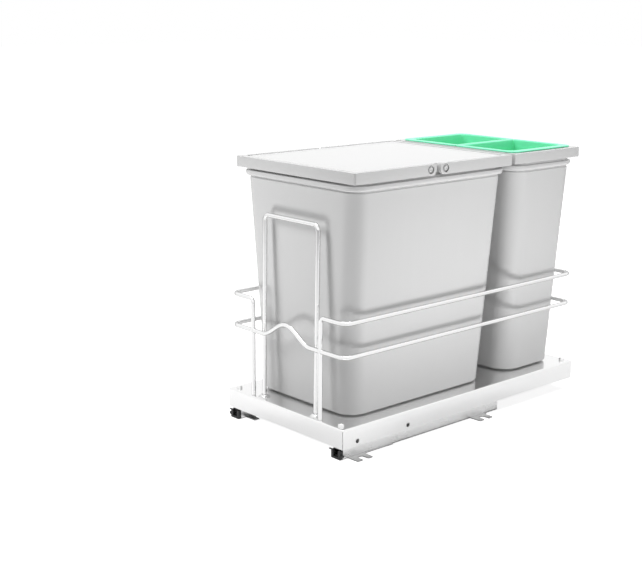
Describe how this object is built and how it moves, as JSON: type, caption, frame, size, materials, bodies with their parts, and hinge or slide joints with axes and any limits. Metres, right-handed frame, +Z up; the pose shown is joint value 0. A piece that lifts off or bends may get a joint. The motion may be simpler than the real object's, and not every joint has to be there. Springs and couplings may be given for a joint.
{
  "type": "pull-out waste bin unit",
  "caption": "Pull-out waste unit: steel tray on telescopic rails, chrome wire basket and handle, lidded bin with swinging bails, and a second bin with lift-out inserts.",
  "frame": {"origin": "on the cabinet floor, below the middle of the overall box", "axes": "+Z up, -Y towards the user in front of the cabinet, +X to the right of that user"},
  "size_m": [0.276, 0.52, 0.4041],
  "materials": {
    "tray_steel": "satin silver coat on folded sheet",
    "rail_steel": "zinc-plated roll-formed sheet",
    "chrome_wire": "bright chrome-plated wire",
    "bolt_steel": "nickel-plated fasteners",
    "cage_steel": "pressed steel strip with bright balls",
    "clip_plastic": "black moulded plastic",
    "bin_plastic": "light grey semi-gloss moulded plastic",
    "lid_plastic": "light grey semi-gloss moulded plastic",
    "green_plastic": "spring green moulded plastic"
  },
  "bodies": {
    "floor_rails": {"fixed_rail_left": "rail_steel", "fixed_rail_right": "rail_steel", "rail_clip_left": "clip_plastic", "rail_clip_right": "clip_plastic"},
    "lower_cages": {"lower_ball_cage_left": "cage_steel", "lower_ball_cage_right": "cage_steel"},
    "middle_rails": {"mid_rail_left": "rail_steel", "mid_rail_right": "rail_steel"},
    "upper_cages": {"upper_ball_cage_left": "cage_steel", "upper_ball_cage_right": "cage_steel"},
    "pull_out": {"tray": "tray_steel", "tray_wall_front": "tray_steel", "tray_wall_rear": "tray_steel", "tray_wall_left": "tray_steel", "tray_wall_right": "tray_steel", "drawer_rail_left": "rail_steel", "drawer_rail_right": "rail_steel", "dome_bolt_front_left": "bolt_steel", "dome_bolt_front_right": "bolt_steel", "dome_bolt_rear_left": "bolt_steel", "dome_bolt_rear_right": "bolt_steel", "rail_nut_front_left": "bolt_steel", "rail_nut_front_right": "bolt_steel", "rail_nut_rear_left": "bolt_steel", "rail_nut_rear_right": "bolt_steel", "basket_upper_wire": "chrome_wire", "basket_lower_wire": "chrome_wire", "basket_front_hump_wire": "chrome_wire", "basket_rear_post_left": "chrome_wire", "basket_rear_post_right": "chrome_wire", "post_nut_front_left": "bolt_steel", "post_nut_front_right": "bolt_steel", "post_nut_rear_left": "bolt_steel", "post_nut_rear_right": "bolt_steel", "handle": "chrome_wire", "handle_flange_nut_left": "bolt_steel", "handle_flange_nut_right": "bolt_steel", "handle_lock_nut_left": "bolt_steel", "handle_lock_nut_right": "bolt_steel"},
    "front_bin_unit": {"front_bin": "bin_plastic", "bail_pin_front_left": "bin_plastic", "bail_pin_front_right": "bin_plastic", "bail_pin_rear_left": "bin_plastic", "bail_pin_rear_right": "bin_plastic"},
    "lid_unit": {"front_lid": "lid_plastic"},
    "front_bail_unit": {"front_bail": "bin_plastic"},
    "rear_bail_unit": {"rear_bail": "bin_plastic"},
    "rear_bin_unit": {"rear_bin": "bin_plastic", "rear_ring": "bin_plastic"},
    "insert_left_unit": {"green_insert_left": "green_plastic"},
    "insert_right_unit": {"green_insert_right": "green_plastic"}
  },
  "joints": [
    {"name": "tray_slide", "type": "slide", "parent": "floor_rails", "child": "pull_out", "axis": [0, -1, 0], "range_m": [0, 0.32]},
    {"name": "middle_rail_slide", "type": "slide", "parent": "floor_rails", "child": "middle_rails", "axis": [0, -1, 0], "range_m": [0, 0.16]},
    {"name": "lower_cage_slide", "type": "slide", "parent": "floor_rails", "child": "lower_cages", "axis": [0, -1, 0], "range_m": [0, 0.08]},
    {"name": "upper_cage_slide", "type": "slide", "parent": "floor_rails", "child": "upper_cages", "axis": [0, -1, 0], "range_m": [0, 0.24]},
    {"name": "front_bin_lift", "type": "slide", "parent": "pull_out", "child": "front_bin_unit", "axis": [0, 0, 1], "range_m": [0, 0.37]},
    {"name": "rear_bin_lift", "type": "slide", "parent": "pull_out", "child": "rear_bin_unit", "axis": [0, 0, 1], "range_m": [0, 0.37]},
    {"name": "lid_lift", "type": "slide", "parent": "front_bin_unit", "child": "lid_unit", "axis": [0, 0, 1], "range_m": [0, 0.1]},
    {"name": "front_bail_swing", "type": "hinge", "parent": "front_bin_unit", "child": "front_bail_unit", "pos_m": [-0.009, -0.0939, 0.3946], "axis": [-1, 0, 0], "range_deg": [0, 88]},
    {"name": "rear_bail_swing", "type": "hinge", "parent": "front_bin_unit", "child": "rear_bail_unit", "pos_m": [-0.009, -0.0627, 0.3946], "axis": [1, 0, 0], "range_deg": [0, 88]},
    {"name": "insert_left_lift", "type": "slide", "parent": "rear_bin_unit", "child": "insert_left_unit", "axis": [0, 0, 1], "range_m": [0, 0.2]},
    {"name": "insert_right_lift", "type": "slide", "parent": "rear_bin_unit", "child": "insert_right_unit", "axis": [0, 0, 1], "range_m": [0, 0.2]}
  ],
  "couplings": [
    {"joint": "middle_rail_slide", "follows": "tray_slide", "ratio": 0.5},
    {"joint": "lower_cage_slide", "follows": "tray_slide", "ratio": 0.25},
    {"joint": "upper_cage_slide", "follows": "tray_slide", "ratio": 0.75}
  ]
}
